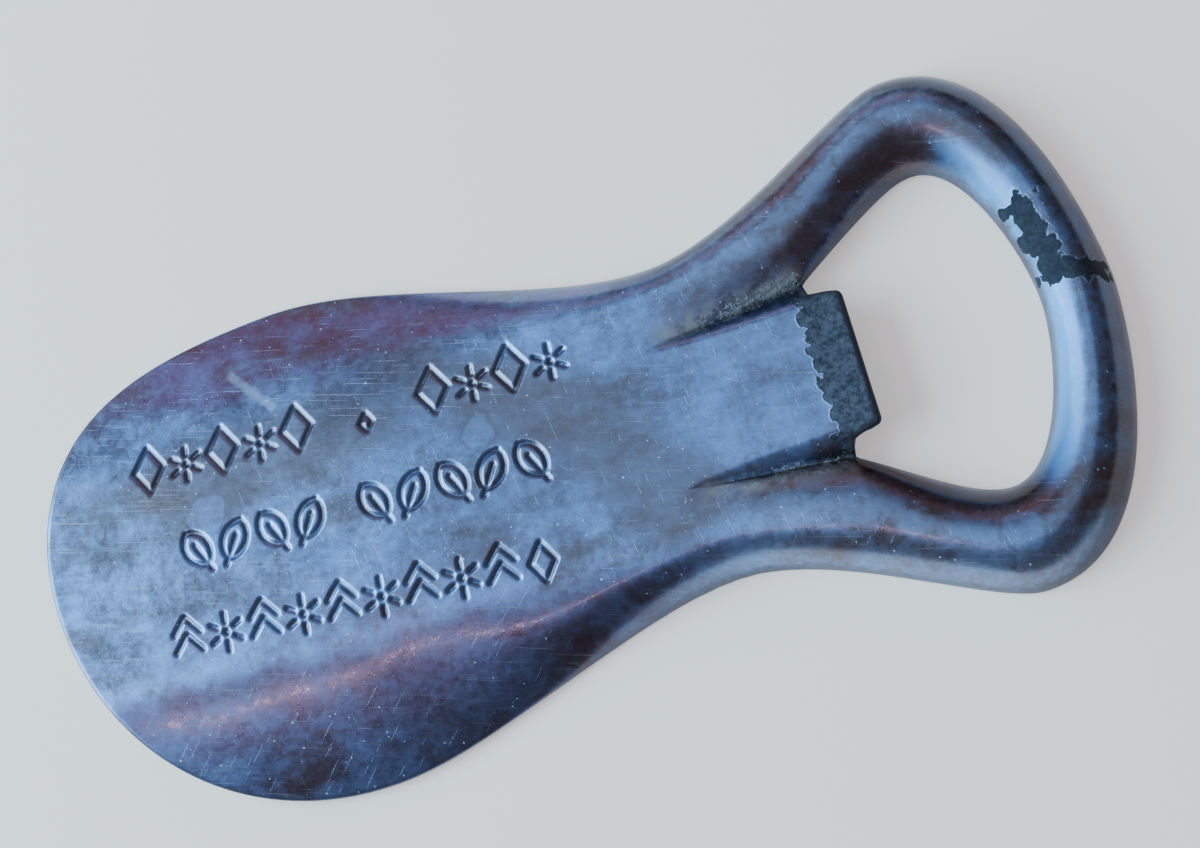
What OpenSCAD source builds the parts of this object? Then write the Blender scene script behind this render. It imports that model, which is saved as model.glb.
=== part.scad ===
// Pocket shoehorn with a crown-cap opener, one pressing of plated steel sheet.
// The origin is in the middle of the length, on the plane that the lower edges rest on.
// +X points at the opener end, +Y at the left rail, and +Z out of the crowned face.
// The sheet is drawn as cross-sections: each one is a ribbon, the upper face and the
// underside one sheet thickness below it, and skin() joins a row of ribbons to a solid.

/* [Sheet] */
// Length from the blade's tip to the outside of the bow
length = 105; // [95:1:115]
// Thickness of the steel
sheet_t = 1.0; // [0.8:0.05:1.1]

/* [Blade] */
// Greatest width of the blade
blade_w = 48.2; // [42:0.2:54]
// Distance from the tip to the widest place of the blade
blade_peak = 27; // [25:0.5:29]
// Height of the blade's crown
blade_crown = 5.2; // [4.6:0.1:6]
// Squareness of the blade's cross-section: 2 is a parabola
arch_power = 2.2; // [2:0.1:3]
// How far the tip leans to the left side
tip_lean = 3; // [0:0.2:3.4]

/* [Waist] */
// Width of the waist
waist_w = 31; // [29:0.5:34]
// Distance from the tip to the narrowest place
waist_peak = 64.5; // [62:0.5:66]

/* [Loop] */
// Greatest width of the opener loop
loop_w = 50.2; // [47:0.2:54]
// Distance from the tip to the widest place of the loop
loop_peak = 90.5; // [89:0.5:92]
// Height of the rolled rim along the rails
rim_h = 4.9; // [4.6:0.1:5.4]
// Height of the rolled rim at the bow
bow_h = 4.3; // [3.8:0.1:4.6]
// Width of the rolled rim at the bow
bow_w = 6.9; // [6.4:0.1:7.6]
// Width of the opening
opening_w = 30.4; // [28:0.2:32]

/* [Tongue] */
// Height of the flat plate that ends in the tongue
plate_z = 4.4; // [4:0.1:4.5]
// Distance from the tip to where the creases start
crease_at = 62.5; // [60:0.5:64]
// Distance from the tip to the root of the two notches
notch_at = 78.1; // [77:0.1:79]
// Depth of the creases at the notches
crease_depth = 2.3; // [1.8:0.1:2.6]
// Distance between the creases where they start
crease_gap = 13.6; // [12:0.2:15]
// Distance between the notches
notch_gap = 16.8; // [16:0.2:18]
// How far the tongue stands out past the notches
tongue_reach = 3.4; // [2.5:0.1:3.6]
// Width of the tongue at its root
tongue_root_w = 14.8; // [13.6:0.2:15.4]
// Width of the tongue at its lip
tongue_lip_w = 13.2; // [11:0.2:13.6]
// Corner radius of the lip
lip_r = 0.7; // [0.5:0.1:1]

/* [Hidden] */

// Stations along the length
tip_x = -length / 2;
blade_x = tip_x + blade_peak;
waist_x = tip_x + waist_peak;
loop_x = tip_x + loop_peak;
bow_x = length / 2;
crease_x = tip_x + crease_at;
notch_x = tip_x + notch_at;
lip_x = notch_x + tongue_reach;

// Where one region of the pressing ends and the next one starts
blade_end_x = tip_x + 57;
waist_end_x = crease_x + 4;

// The blade's middle line leaves the part's middle plane here, and bends towards the tip
lean_x = blade_x - 1.5;
lean_power = 1.8;

// The arch of the blade turns into the pressed plate and rims between these stations
press_start_x = tip_x + 32;
press_full_x = crease_x - 2;

// Level of the blade's side edges, whose underside rests on the plane
blade_edge_z = 0.95 * sheet_t;
// Height of the rim's free inner foot, round the opening
free_foot_z = 0.5;
// Length over which the crease runs out into that free foot
foot_run = 10;
// Length of the notch, between the plate's end and the tongue's root
notch_run = 0.4;
// Place of the rim's ridge between its outer foot, 0, and its inner foot, 1
ridge_q = 0.45;
// Part of a half circle that a rim's side follows: 1 would end upright
tube_k = 0.97;
tube_c = sqrt(1 - tube_k * tube_k);
// Steepness of the crease's inner wall, and the round of the shoulder above it
wall_slope = 2.1;
wall_round = 2.7;

// Stations between which the rims' ridge rises, and their inner side turns crisp
ridge_start_x = press_start_x + 18;
crisp_start_x = crease_x - 1;
crisp_full_x = crease_x + 4;

// Handles of the outline's curves, as shares of the length and width they run over
tip_handles = [0.25, 0.925];
shoulder_handles = [0.31, 0.29];
hip_handles = [0.35, 0.18];
bow_handles = [0.9, 0.11];
// Handles of the opening's curves: in from the notch, at the cheek, and at the bow
notch_handle = [5, 3.2];
cheek_handles = [3, 5];
inner_handle = 0.28;

// Cells across a rim, across half the blade and half the plate
rim_cells = 14;
blade_cells = 16;
plate_cells = 8;
// Rows along each region, first at the very tip
nose_share = 0.25;
tip_rows = 16;
blade_rows = 12;
waist_rows = 10;
plate_rows = 8;
rail_rows = 18;
bow_rows = 22;
lip_rows = 4;
corner_rows = 4;
// Steps of the tables that give a width for a station
side_steps = 24;
cheek_steps = 16;

steel_blue = [0.47, 0.53, 0.62];
steel_light = [0.55, 0.60, 0.68];
steel_dark = [0.33, 0.36, 0.42];

// Arithmetic
function lerp(a, b, t) = a + (b - a) * t;
function ramp(x, x0, x1) =
    let (t = max(0, min(1, (x - x0) / (x1 - x0))))
    t * t * (3 - 2 * t);
function bezier(p, t) =
    let (s = 1 - t)
    s * s * s * p[0] + 3 * s * s * t * p[1] + 3 * s * t * t * p[2] + t * t * t * p[3];
function steps(n) = [for (i = [0 : n]) i / n];
function ease(n) = [for (i = [0 : n]) (1 - cos(180 * i / n)) / 2];

// Outline of the left half, tip to bow, as four curves
tip_curve = [
    [tip_x, 0], [tip_x, tip_handles[0] * blade_w / 2],
    [blade_x - tip_handles[1] * blade_peak, blade_w / 2], [blade_x, blade_w / 2]];
shoulder_run = waist_x - blade_x;
shoulder_curve = [
    [blade_x, blade_w / 2], [blade_x + shoulder_handles[0] * shoulder_run, blade_w / 2],
    [waist_x - shoulder_handles[1] * shoulder_run, waist_w / 2], [waist_x, waist_w / 2]];
hip_run = loop_x - waist_x;
hip_curve = [
    [waist_x, waist_w / 2], [waist_x + hip_handles[0] * hip_run, waist_w / 2],
    [loop_x - hip_handles[1] * hip_run, loop_w / 2], [loop_x, loop_w / 2]];
bow_run = bow_x - loop_x;
bow_curve = [
    [loop_x, loop_w / 2], [loop_x + bow_handles[0] * bow_run, loop_w / 2],
    [bow_x, bow_handles[1] * loop_w / 2], [bow_x, 0]];
side_table = [for (c = [shoulder_curve, hip_curve], t = steps(side_steps)) bezier(c, t)];
function half_w(x) = lookup(x, side_table);

// Side shift of the blade's cross-section
function lean(x) = tip_lean * pow(max(0, (lean_x - x) / (lean_x - tip_x)), lean_power);

// Edge of the opening, notch to bow, as two curves
inner_x = bow_x - bow_w;
cheek_curve = [
    [notch_x, notch_gap / 2], [notch_x + notch_handle[0], notch_gap / 2 + notch_handle[1]],
    [loop_x - cheek_handles[0], opening_w / 2], [loop_x, opening_w / 2]];
inner_curve = [
    [loop_x, opening_w / 2], [loop_x + cheek_handles[1], opening_w / 2],
    [inner_x, inner_handle * opening_w / 2], [inner_x, 0]];
cheek_table = [for (t = steps(cheek_steps)) bezier(cheek_curve, t)];

// Creases between the plate and the rims
function crease_y(x) =
    lerp(crease_gap, notch_gap, (x - crease_x) / (notch_x - crease_x)) / 2;
function crease_drop(x) =
    crease_depth * max(0, min(1, (x - crease_x) / (notch_x - crease_x)));
function inner_y(x) = x <= notch_x ? crease_y(x) : lookup(x, cheek_table);
function foot_z(x) =
    lerp(plate_z - crease_drop(x), free_foot_z, ramp(x, notch_x, notch_x + foot_run));
function ridge_z(x) = lerp(plate_z, rim_h, ramp(x, ridge_start_x, notch_x));

// Crispness of a rim's inner side: 0 where it runs smoothly into the plate, 1 at a crease
function crispness(x) = ramp(x, crisp_start_x, crisp_full_x);

// Height of the upper face
function tube(u) = (sqrt(1 - pow(tube_k * u, 2)) - tube_c) / (1 - tube_c);
function rim_z(q, ridge, foot, crisp) =
    let (u = (q - ridge_q) / (1 - ridge_q))
    q < ridge_q
    ? ridge * tube((ridge_q - q) / ridge_q)
    : foot + (ridge - foot) * lerp((1 + cos(180 * u)) / 2, tube(u), crisp);
function wall_drop(v) = wall_slope * (sqrt(pow(max(0, v), 2) + pow(wall_round, 2)) - wall_round);
function wall_width(drop) = sqrt(pow(drop / wall_slope + wall_round, 2) - pow(wall_round, 2));
function flat_z(x, y) =
    plate_z - wall_drop(abs(y) - crease_y(x) + wall_width(crease_drop(x)));
function arch_z(x, y) =
    let (reach = x < blade_x ? blade_w / 2 : half_w(x))
    blade_crown - (blade_crown - blade_edge_z) * pow(abs(y) / reach, arch_power);
function pressed_z(x, y) =
    let (w = half_w(x), c = crease_y(x))
    abs(y) < c
    ? flat_z(x, y)
    : rim_z((w - abs(y)) / (w - c), ridge_z(x), foot_z(x), crispness(x));
function top_z(x, y) =
    x <= press_start_x
    ? arch_z(x, y)
    : lerp(arch_z(x, y), pressed_z(x, y), ramp(x, press_start_x, press_full_x));

// Underside of a profile of [across, height] points. An end that is a joint to the next
// region goes straight down, so that both regions meet on one upright face.
function underside(p, joint_a, joint_b) =
    let (last = len(p) - 1)
    [for (i = [0 : last])
        let (
            d = p[min(i + 1, last)] - p[max(i - 1, 0)],
            is_joint = (i == 0 && joint_a) || (i == last && joint_b),
            n = is_joint ? [0, 1] : [-d[1], d[0]] / norm(d)
        )
        [p[i][0] - sheet_t * n[0], max(0, p[i][1] - sheet_t * n[1])]];

// Ribbon of a profile, stood up on the line that starts at base and runs along dir
function ribbon(base, dir, p, joint_a = false, joint_b = false) =
    let (u = underside(p, joint_a, joint_b), last = len(p) - 1)
    [for (q = concat(p, [for (i = [last : -1 : 0]) u[i]]))
        [base[0] + dir[0] * q[0], base[1] + dir[1] * q[0], q[1]]];

// Ribbon across the whole sheet at a station x, through the given places y
function across(x, ys, joint_a = false, joint_b = false) =
    ribbon([x, lean(x)], [0, 1], [for (y = ys) [y, top_z(x, y)]], joint_a, joint_b);

// Ribbon across a rim, from its outer foot to its inner foot
function rim_section(outer, inner, ridge, foot, crisp = 1, joint = false) =
    let (w = norm(inner - outer))
    ribbon(outer, (inner - outer) / w,
        [for (q = ease(rim_cells)) [q * w, rim_z(q, ridge, foot, crisp)]], false, joint);

// Solid through a row of ribbons, all with the same number of points
module skin(rows) {
    n = len(rows[0]);
    last = len(rows) - 1;
    sides = [for (k = [0 : last - 1], i = [0 : n - 1])
        let (a = k * n + i, b = k * n + (i + 1) % n)
        each [[a, b, b + n], [a, b + n, a + n]]];
    start = [for (i = [0 : n / 2 - 2]) each [[i, n - 1 - i, n - 2 - i], [i, n - 2 - i, i + 1]]];
    end = [for (f = start) [for (i = [2, 1, 0]) f[i] + last * n]];
    polyhedron([for (r = rows) each r], concat(sides, start, end), convexity = 8);
}

// Places across the sheet at a station of the waist: rim, plate, rim
function waist_ys(x) =
    let (w = half_w(x), c = crease_y(x))
    concat(
        [for (q = ease(rim_cells)) -lerp(w, c, q)],
        [for (s = steps(2 * plate_cells)) if (s > 0 && s < 1) lerp(-c, c, s)],
        [for (q = ease(rim_cells)) lerp(c, w, q)]);

module shoehorn_blade() {
    round_part = [for (i = [1 : tip_rows]) bezier(tip_curve, i / tip_rows)];
    long_part = [for (i = [1 : blade_rows])
        let (x = lerp(blade_x, blade_end_x, i / blade_rows)) [x, half_w(x)]];
    nose = bezier(tip_curve, nose_share / tip_rows);
    color(steel_blue)
        skin([for (p = concat([nose], round_part, long_part))
            across(p[0], [for (s = ease(2 * blade_cells)) lerp(-p[1], p[1], s)])]);
}

module waist() {
    color(steel_light)
        skin([for (s = steps(waist_rows))
            let (x = lerp(blade_end_x, waist_end_x, s)) across(x, waist_ys(x))]);
}

// One side of the loop, from the waist to the bow
module rail() {
    color(steel_blue)
        skin([for (x = concat(
                [for (s = steps(plate_rows)) lerp(waist_end_x, notch_x, s)],
                [for (s = steps(rail_rows)) if (s > 0) lerp(notch_x, loop_x, s)]))
            rim_section([x, half_w(x)], [x, inner_y(x)],
                ridge_z(x), foot_z(x), crispness(x), x <= notch_x)]);
}

module left_rail() {
    rail();
}

module right_rail() {
    mirror([0, 1, 0])
        rail();
}

module bow() {
    foot = foot_z(loop_x);
    color(steel_light)
        skin([for (s = steps(2 * bow_rows))
            let (
                side = s <= 0.5 ? 1 : -1,
                t = 1 - abs(2 * s - 1),
                o = bezier(bow_curve, t),
                i = bezier(inner_curve, t)
            )
            rim_section([o[0], side * o[1]], [i[0], side * i[1]],
                lerp(rim_h, bow_h, ramp(t, 0, 1)), foot)]);
}

// The plate between the creases and the lip that catches a cap's skirt
module tongue() {
    root_x = notch_x + notch_run;
    corner_x = lip_x - lip_r;
    half_lip = tongue_lip_w / 2;
    plate_part = [for (s = steps(plate_rows))
        let (x = lerp(waist_end_x, notch_x, s)) [x, crease_y(x)]];
    lip_part = concat(
        [for (s = steps(lip_rows)) [lerp(root_x, corner_x, s), lerp(tongue_root_w / 2, half_lip, s)]],
        [for (s = steps(corner_rows)) if (s > 0)
            [corner_x + lip_r * sin(90 * s), half_lip - lip_r + lip_r * cos(90 * s)]]);
    color(steel_dark)
        skin([for (p = concat(plate_part, lip_part))
            let (
                x = p[0],
                is_plate = x <= notch_x,
                bend = 1 - ramp(x, notch_x, corner_x),
                ys = [for (s = steps(2 * plate_cells)) lerp(-p[1], p[1], s)],
                profile = [for (y = ys) [y, lerp(plate_z, flat_z(min(x, notch_x), y), bend)]]
            )
            ribbon([x, 0], [0, 1], profile, is_plate, is_plate)]);
}

shoehorn_blade();
waist();
left_rail();
right_rail();
bow();
tongue();
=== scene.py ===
"""Looks of the pocket shoehorn with its crown-cap opener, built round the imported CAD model.

The object is one plated steel pressing. Each CAD node, a region of that pressing, is replaced by a
finer mesh of the same surface, with rounded cut edges and stamped ornament. Lengths are in
millimetres until a mesh is made, and in metres after that.
"""

import math

import bpy
import numpy as np
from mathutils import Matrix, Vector


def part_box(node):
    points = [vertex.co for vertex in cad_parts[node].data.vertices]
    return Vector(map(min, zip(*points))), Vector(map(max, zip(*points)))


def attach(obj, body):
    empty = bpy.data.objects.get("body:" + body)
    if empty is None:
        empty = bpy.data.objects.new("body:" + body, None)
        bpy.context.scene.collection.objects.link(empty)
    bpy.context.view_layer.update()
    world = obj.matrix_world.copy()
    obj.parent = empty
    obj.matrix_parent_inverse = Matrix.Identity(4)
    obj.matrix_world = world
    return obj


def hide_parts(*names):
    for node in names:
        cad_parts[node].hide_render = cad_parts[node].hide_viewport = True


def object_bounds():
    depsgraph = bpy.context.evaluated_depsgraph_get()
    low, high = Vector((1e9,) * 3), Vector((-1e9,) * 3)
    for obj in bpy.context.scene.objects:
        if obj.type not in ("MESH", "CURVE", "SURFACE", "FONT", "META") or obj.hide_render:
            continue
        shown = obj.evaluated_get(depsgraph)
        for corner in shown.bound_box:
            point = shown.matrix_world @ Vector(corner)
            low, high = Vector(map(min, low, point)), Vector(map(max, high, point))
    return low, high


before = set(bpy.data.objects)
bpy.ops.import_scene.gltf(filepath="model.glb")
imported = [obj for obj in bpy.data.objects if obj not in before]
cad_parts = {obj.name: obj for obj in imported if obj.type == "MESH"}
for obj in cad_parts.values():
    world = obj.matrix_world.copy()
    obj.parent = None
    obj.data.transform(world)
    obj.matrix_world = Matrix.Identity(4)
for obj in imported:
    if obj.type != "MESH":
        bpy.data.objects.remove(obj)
cad_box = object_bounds()

MM = 0.001
BODY = "root"

# Stands for a distance that doesn't matter, in millimetres
FAR = 99.0
# Points this near to each other are one point of a mesh, or share one normal
SAME_POINT = 1e-5
SAME_NORMAL = 1e-3
# Normals that point down more than this are the underside's
UNDERSIDE = -0.2


def node_box(node):
    """Lowest and highest corner of a CAD node in millimetres."""
    low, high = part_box(node)
    return np.array(low) / MM, np.array(high) / MM


# -------------------- driving dimensions

# Stations along the length, from the frame
tip_x = cad_box[0][0] / MM
bow_x = cad_box[1][0] / MM
blade_end_x = node_box("shoehorn_blade")[1][0]
waist_end_x = node_box("waist")[1][0]
loop_x = node_box("left_rail")[1][0]
lip_x = node_box("tongue")[1][0]

# Widths and heights, from the frame
half_loop = cad_box[1][1] / MM
blade_crown = node_box("shoehorn_blade")[1][2]
rim_h = node_box("left_rail")[1][2]

# The rest of the pressing's dimensions, as the CAD model has them
sheet_t = 1.0
half_blade = 24.1
blade_peak = 27
tip_lean = 3.0
lean_power = 1.8
waist_peak = 64.5
half_waist = 15.5
bow_h = 4.3
bow_w = 6.9
half_opening = 15.2
plate_z = 4.4
crease_at = 62.5
notch_at = 78.1
crease_depth = 2.3
crease_half_gap = 6.8
notch_half_gap = 8.4
tongue_half_root = 7.4
tongue_half_lip = 6.6
lip_r = 0.7
arch_power = 2.2
press_start = 32
blade_edge_z = 0.95
free_foot_z = 0.5
foot_run = 10
ridge_q = 0.45
tube_k = 0.97
tube_c = math.sqrt(1 - tube_k**2)
wall_slope = 2.1
wall_round = 2.7
notch_run = 0.4

# Handles of the outline's curves, as shares of the length and width they run over
tip_handles = (0.25, 0.925)
shoulder_handles = (0.31, 0.29)
hip_handles = (0.35, 0.18)
bow_handles = (0.9, 0.11)
# Handles of the opening's curves: in from the notch, at the cheek, and at the bow
notch_handle = (5, 3.2)
cheek_handles = (3, 5)
inner_handle = 0.28

blade_x = tip_x + blade_peak
waist_x = tip_x + waist_peak
crease_x = tip_x + crease_at
notch_x = tip_x + notch_at
press_start_x = tip_x + press_start
press_full_x = crease_x - 2
ridge_start_x = press_start_x + 18
crisp_start_x = crease_x - 1
crisp_full_x = crease_x + 4
lean_x = blade_x - 1.5
inner_x = bow_x - bow_w

# Rounding of the cut edges: how far it runs from the corner, above and below
blade_edge_run = 0.55
rim_edge_run = 0.25
lip_edge_run = 0.6
lower_edge_run = 0.12

# Cells across a rim and across the plate, each a multiple of the underside's coarseness
RIM_CELLS = 60
PLATE_CELLS = 114
COARSE = 3
# Rows of points: before the ornament, over it, over the waist, along the creases, beside the
# opening, over half the bow, and on the lip. A sheet has one row more than a multiple of COARSE.
PLAIN_ROWS = 24
STAMPED_ROWS = 276
WAIST_ROWS = 28
JOINED_ROWS = 34
CLEAR_ROWS = 40
HALF_BOW_ROWS = 88
LIP_ROWS = 15
# Loops of points down a cut edge: round its upper corner, and round its lower one
UPPER_LOOPS = 3
LOWER_LOOPS = 2
WALL_LOOPS = UPPER_LOOPS + LOWER_LOOPS

# Where the plating is chipped off the tongue: how far back from its lip, and out to each side
lip_bare_run = 4.1
bare_half_width = 8.2

# Strokes, each given by its two ends and its radius: brown stains, one painted highlight on the blade,
# and where the plating is chipped off the bow
STAINS = [
    (-38.0, 9.5, -16.0, 10.0, 4.2),
    (-13.0, 13.0, 2.0, 2.0, 4.0),
    (2.0, 2.0, 9.0, -7.0, 4.4),
]
PAINTED_HIGHLIGHT_STROKE = (-30.2, 18.7, -26.6, 14.2, 0.6)
BOW_CHIPS = [
    (46.5, 8.3, 47.4, 5.0, 1.4),
    (47.2, 4.6, 47.7, 2.0, 1.5),
    (48.6, 1.7, 51.0, 0.8, 1.15),
]

# -------------------- arithmetic


def lerp(a, b, t):
    return a + (b - a) * t


def ramp(x, x0, x1):
    t = np.clip((x - x0) / (x1 - x0), 0, 1)
    return t * t * (3 - 2 * t)


def bezier(points, t):
    """Points of a cubic curve, one row for each value of t."""
    p = np.array(points, float)
    t = np.asarray(t, float)[:, None]
    s = 1 - t
    return s**3 * p[0] + 3 * s * s * t * p[1] + 3 * s * t * t * p[2] + t**3 * p[3]


def ease(n):
    """n + 1 values from 0 to 1, closer together at both ends."""
    return (1 - np.cos(np.linspace(0, math.pi, n + 1))) / 2


def unit(v):
    return v / np.maximum(np.linalg.norm(v, axis=-1, keepdims=True), 1e-12)


def whole(count, step):
    """The smallest multiple of step that is at least count."""
    return int(math.ceil(count / step)) * step


# -------------------- outline of the left half


def level_curve(start, end, handles):
    """Curve that is level at both ends, its handles being shares of its length."""
    run = end[0] - start[0]
    leaving = (start[0] + handles[0] * run, start[1])
    arriving = (end[0] - handles[1] * run, end[1])
    return [start, leaving, arriving, end]


widest, narrowest, loop_side = (blade_x, half_blade), (waist_x, half_waist), (loop_x, half_loop)
TIP_CURVE = [
    (tip_x, 0),
    (tip_x, tip_handles[0] * half_blade),
    (blade_x - tip_handles[1] * blade_peak, half_blade),
    widest,
]
SHOULDER_CURVE = level_curve(widest, narrowest, shoulder_handles)
HIP_CURVE = level_curve(narrowest, loop_side, hip_handles)
BOW_CURVE = [
    loop_side,
    (loop_x + bow_handles[0] * (bow_x - loop_x), half_loop),
    (bow_x, bow_handles[1] * half_loop),
    (bow_x, 0),
]
CHEEK_CURVE = [
    (notch_x, notch_half_gap),
    (notch_x + notch_handle[0], notch_half_gap + notch_handle[1]),
    (loop_x - cheek_handles[0], half_opening),
    (loop_x, half_opening),
]
INNER_CURVE = [
    (loop_x, half_opening),
    (loop_x + cheek_handles[1], half_opening),
    (inner_x, inner_handle * half_opening),
    (inner_x, 0),
]

fine = np.linspace(0, 1, 1200)
side_line = np.vstack([
    bezier(TIP_CURVE, fine**1.5),
    bezier(SHOULDER_CURVE, fine),
    bezier(HIP_CURVE, fine),
])
cheek_line = bezier(CHEEK_CURVE, fine)


def half_w(x):
    return np.interp(x, side_line[:, 0], side_line[:, 1])


def lean(x):
    """Side shift of the blade's cross-section, which bends the tip to the left."""
    return tip_lean * np.maximum(0, (lean_x - x) / (lean_x - tip_x)) ** lean_power


# -------------------- height of the upper face


def crease_y(x):
    return lerp(crease_half_gap, notch_half_gap, (x - crease_x) / (notch_x - crease_x))


def crease_drop(x):
    return crease_depth * np.clip((x - crease_x) / (notch_x - crease_x), 0, 1)


def inner_y(x):
    return np.where(x <= notch_x, crease_y(x), np.interp(x, cheek_line[:, 0], cheek_line[:, 1]))


def foot_z(x):
    return lerp(plate_z - crease_drop(x), free_foot_z, ramp(x, notch_x, notch_x + foot_run))


def ridge_z(x):
    return lerp(plate_z, rim_h, ramp(x, ridge_start_x, notch_x))


def crispness(x):
    """0 where the rim runs smoothly into the plate, 1 where a crease parts them."""
    return ramp(x, crisp_start_x, crisp_full_x)


def tube(u):
    return (np.sqrt(1 - np.clip(tube_k * u, 0, 1) ** 2) - tube_c) / (1 - tube_c)


def rim_z(q, ridge, foot, crisp):
    """Height of a rim, q being 0 at its outer foot and 1 at its inner foot."""
    outer = ridge * tube((ridge_q - q) / ridge_q)
    u = np.clip((q - ridge_q) / (1 - ridge_q), 0, 1)
    inner = foot + (ridge - foot) * lerp((1 + np.cos(math.pi * u)) / 2, tube(u), crisp)
    return np.where(q < ridge_q, outer, inner)


def wall_drop(v):
    """Drop of a crease's inner wall, v being how far it is past the shoulder's start."""
    return wall_slope * (np.sqrt(np.maximum(0, v) ** 2 + wall_round**2) - wall_round)


def wall_width(drop):
    return np.sqrt((drop / wall_slope + wall_round) ** 2 - wall_round**2)


def flat_z(x, y):
    return plate_z - wall_drop(np.abs(y) - crease_y(x) + wall_width(crease_drop(x)))


def arch_z(x, y):
    reach = np.where(x < blade_x, half_blade, half_w(x))
    return blade_crown - (blade_crown - blade_edge_z) * (np.abs(y) / reach) ** arch_power


def pressed_z(x, y):
    w, c = half_w(x), crease_y(x)
    rim = rim_z((w - np.abs(y)) / (w - c), ridge_z(x), foot_z(x), crispness(x))
    return np.where(np.abs(y) < c, flat_z(x, y), rim)


def top_z(x, y):
    return lerp(arch_z(x, y), pressed_z(x, y), ramp(x, press_start_x, press_full_x))


# -------------------- stamped ornament

groove_depth = 0.28
groove_half = 0.42
mark_h = 4.6
mark_reach = 4
leaf_tilt = 0.5


def to_line(u, v, u0, v0, u1, v1):
    """Distance to a straight stroke."""
    du, dv = u1 - u0, v1 - v0
    t = np.clip(((u - u0) * du + (v - v0) * dv) / (du * du + dv * dv), 0, 1)
    return np.hypot(u - u0 - t * du, v - v0 - t * dv)


def lozenge(u, v, h):
    """Upright diamond outline."""
    half_u, half_v = 0.34 * h, 0.5 * h
    return to_line(np.abs(u), np.abs(v), half_u, 0, 0, half_v)


def floret(u, v, h):
    """Six short petals round a dot."""
    turn = math.pi / 3
    angle = np.mod(np.arctan2(v, u), turn) - turn / 2
    r = np.hypot(u, v)
    petal = to_line(r * np.cos(angle), r * np.sin(angle), 0.25 * h, 0, 0.45 * h, 0)
    return np.minimum(petal, np.maximum(r - 0.03 * h, 0))


def leaf(u, v, h):
    """Pointed leaf with a midrib and a stalk, leaning to one side."""
    along = u * math.sin(leaf_tilt) + v * math.cos(leaf_tilt)
    side = np.abs(u * math.cos(leaf_tilt) - v * math.sin(leaf_tilt))
    half, bulge = 0.42 * h, 0.26 * h
    centre = (half * half - bulge * bulge) / (2 * bulge)
    edge = np.abs(np.hypot(side + centre, along) - (centre + bulge))
    tip = np.hypot(side, np.abs(along) - half)
    blade = np.where(np.abs(along) < half, edge, tip)
    return np.minimum(blade, to_line(side, along, 0, -0.56 * h, 0, 0.1 * h))


def mirrored_leaf(u, v, h):
    return leaf(-u, v, h)


def chevrons(u, v, h):
    """Two arrow heads, one above the other."""
    half_u = 0.3 * h
    low = to_line(np.abs(u), v, 0, 0.05 * h, half_u, -0.3 * h)
    high = to_line(np.abs(u), v, 0, 0.42 * h, half_u, 0.07 * h)
    return np.minimum(low, high)


# Each row: where its baseline starts, the baseline's slope, and its groups of marks. A group is
# its start along the row, the pitch of its marks, and the marks with their share of mark_h.
ROWS = [
    ((-42.0, 9.85), -0.062, [
        (1.8, 3.9, [(lozenge, 1), (floret, 0.8)] * 2 + [(lozenge, 1)]),
        (24.4, 3.9, [(lozenge, 0.4)]),
        (31.4, 3.9, [(lozenge, 1), (floret, 0.8)] * 2),
    ]),
    ((-39.0, 0.65), -0.064, [
        (2.0, 3.9, [(mirrored_leaf, 1), (leaf, 1)] * 2),
        (20.3, 3.9, [(mirrored_leaf, 1), (leaf, 1)] * 2 + [(mirrored_leaf, 1)]),
    ]),
    ((-42.0, -7.15), -0.096, [
        (1.8, 3.95, [(chevrons, 1), (floret, 0.85)] * 4 + [(chevrons, 1), (lozenge, 0.8)]),
    ]),
]


def ornament_depth(x, y):
    """Depth of the stamped rows below the blade's upper face."""
    depth = np.zeros_like(x)
    for (x0, y0), slope, groups in ROWS:
        turn = math.atan(slope)
        along = (x - x0) * math.cos(turn) + (y - y0) * math.sin(turn)
        up = (y - y0) * math.cos(turn) - (x - x0) * math.sin(turn)
        for start, pitch, marks in groups:
            for k, (mark, share) in enumerate(marks):
                h = mark_h * share
                u, v = along - start - k * pitch, up - h / 2
                near = (np.abs(u) < mark_reach) & (np.abs(v) < mark_reach)
                reach = np.clip(mark(u[near], v[near], h) / groove_half, 0, 1)
                groove = groove_depth * (1 + np.cos(math.pi * reach)) / 2
                depth[near] = np.maximum(depth[near], groove)
    return depth


def ripple(x, y):
    """Slight unevenness of the pressed sheet, which bends the reflections."""
    waves = [
        (0.31, 0.17, 0.4, 0.012),
        (-0.19, 0.43, 1.9, 0.010),
        (0.53, -0.29, 4.1, 0.007),
        (0.11, 0.9, 2.6, 0.005),
    ]
    return sum(height * np.sin(kx * x + ky * y + phase) for kx, ky, phase, height in waves)


# -------------------- sheets of steel


def across_normal(top):
    """Upward normal of each row's profile, square to it."""
    d = np.gradient(top, axis=1)
    along = unit(d * [1, 1, 0])
    slope = d[..., 2] / np.maximum(np.hypot(d[..., 0], d[..., 1]), 1e-12)
    n = np.concatenate([-along[..., :2] * slope[..., None], np.ones_like(slope)[..., None]], axis=2)
    return unit(n)


# Only points this near to an outline are measured to it, and only so many at a time
outline_reach = 1.6
OUTLINE_BLOCK = 40
POINT_BLOCK = 2000


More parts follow.
